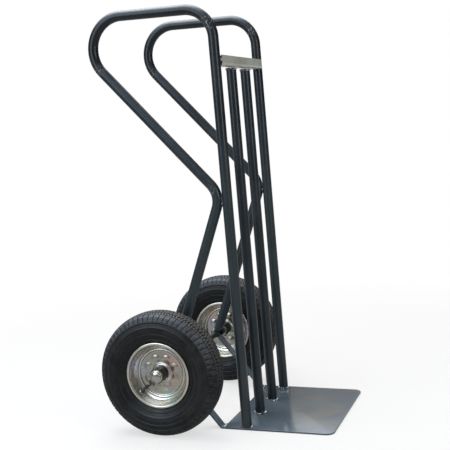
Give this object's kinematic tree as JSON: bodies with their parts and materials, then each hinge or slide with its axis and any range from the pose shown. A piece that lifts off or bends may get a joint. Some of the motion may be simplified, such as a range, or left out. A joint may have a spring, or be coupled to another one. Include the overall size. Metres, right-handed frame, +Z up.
{
  "type": "hand truck",
  "caption": "Upright hand truck with two looped side handles, a flat steel toe plate and two air-filled wheels on one axle, for tilting and rolling boxes and crates.",
  "frame": {"origin": "on the floor, at the toe plate's underside, below the middle of the row of uprights", "axes": "+X forward, the way the toe plate reaches; +Y to the left of someone standing behind the truck; +Z up"},
  "size_m": [0.661, 0.6378, 1.178],
  "materials": {
    "slate_paint": "gloss slate-grey paint",
    "plate_paint": "gloss grey-blue paint",
    "bar_paint": "satin pale beige-grey",
    "bright_plating": "bright plated pressing",
    "zinc_plating": "zinc plated",
    "black_steel": "black, semi-matt",
    "tyre_rubber": "black tread rubber",
    "tube_rubber": "black butyl rubber",
    "black_plastic": "black moulded plastic"
  },
  "bodies": {
    "frame": {"side_tube_right": "slate_paint", "inner_upright_right": "slate_paint", "side_tube_left": "slate_paint", "inner_upright_left": "slate_paint", "top_crossbar": "bar_paint", "toe_plate": "plate_paint", "axle_strap_right": "plate_paint", "axle_strap_left": "plate_paint", "axle": "black_steel", "spacer_sleeve_right": "black_steel", "inner_washer_right": "zinc_plating", "outer_washer_right": "zinc_plating", "axle_cap_right": "bright_plating", "spacer_sleeve_left": "black_steel", "inner_washer_left": "zinc_plating", "outer_washer_left": "zinc_plating", "axle_cap_left": "bright_plating"},
    "wheel_right": {"tyre_right": "tyre_rubber", "inner_tube_right": "tube_rubber", "rim_outer_half_right": "bright_plating", "rim_inner_half_right": "bright_plating", "hub_right": "black_steel", "bearing_outer_right": "zinc_plating", "bearing_inner_right": "zinc_plating", "valve_stem_right": "tube_rubber", "valve_cap_right": "black_plastic"},
    "wheel_left": {"tyre_left": "tyre_rubber", "inner_tube_left": "tube_rubber", "rim_outer_half_left": "bright_plating", "rim_inner_half_left": "bright_plating", "hub_left": "black_steel", "bearing_outer_left": "zinc_plating", "bearing_inner_left": "zinc_plating", "valve_stem_left": "tube_rubber", "valve_cap_left": "black_plastic"}
  },
  "joints": [
    {"name": "wheel_right_spin", "type": "hinge", "parent": "frame", "child": "wheel_right", "pos_m": [-0.214, -0.268, 0.175], "axis": [0, 1, 0], "continuous": true},
    {"name": "wheel_left_spin", "type": "hinge", "parent": "frame", "child": "wheel_left", "pos_m": [-0.214, 0.268, 0.175], "axis": [0, 1, 0], "continuous": true}
  ]
}
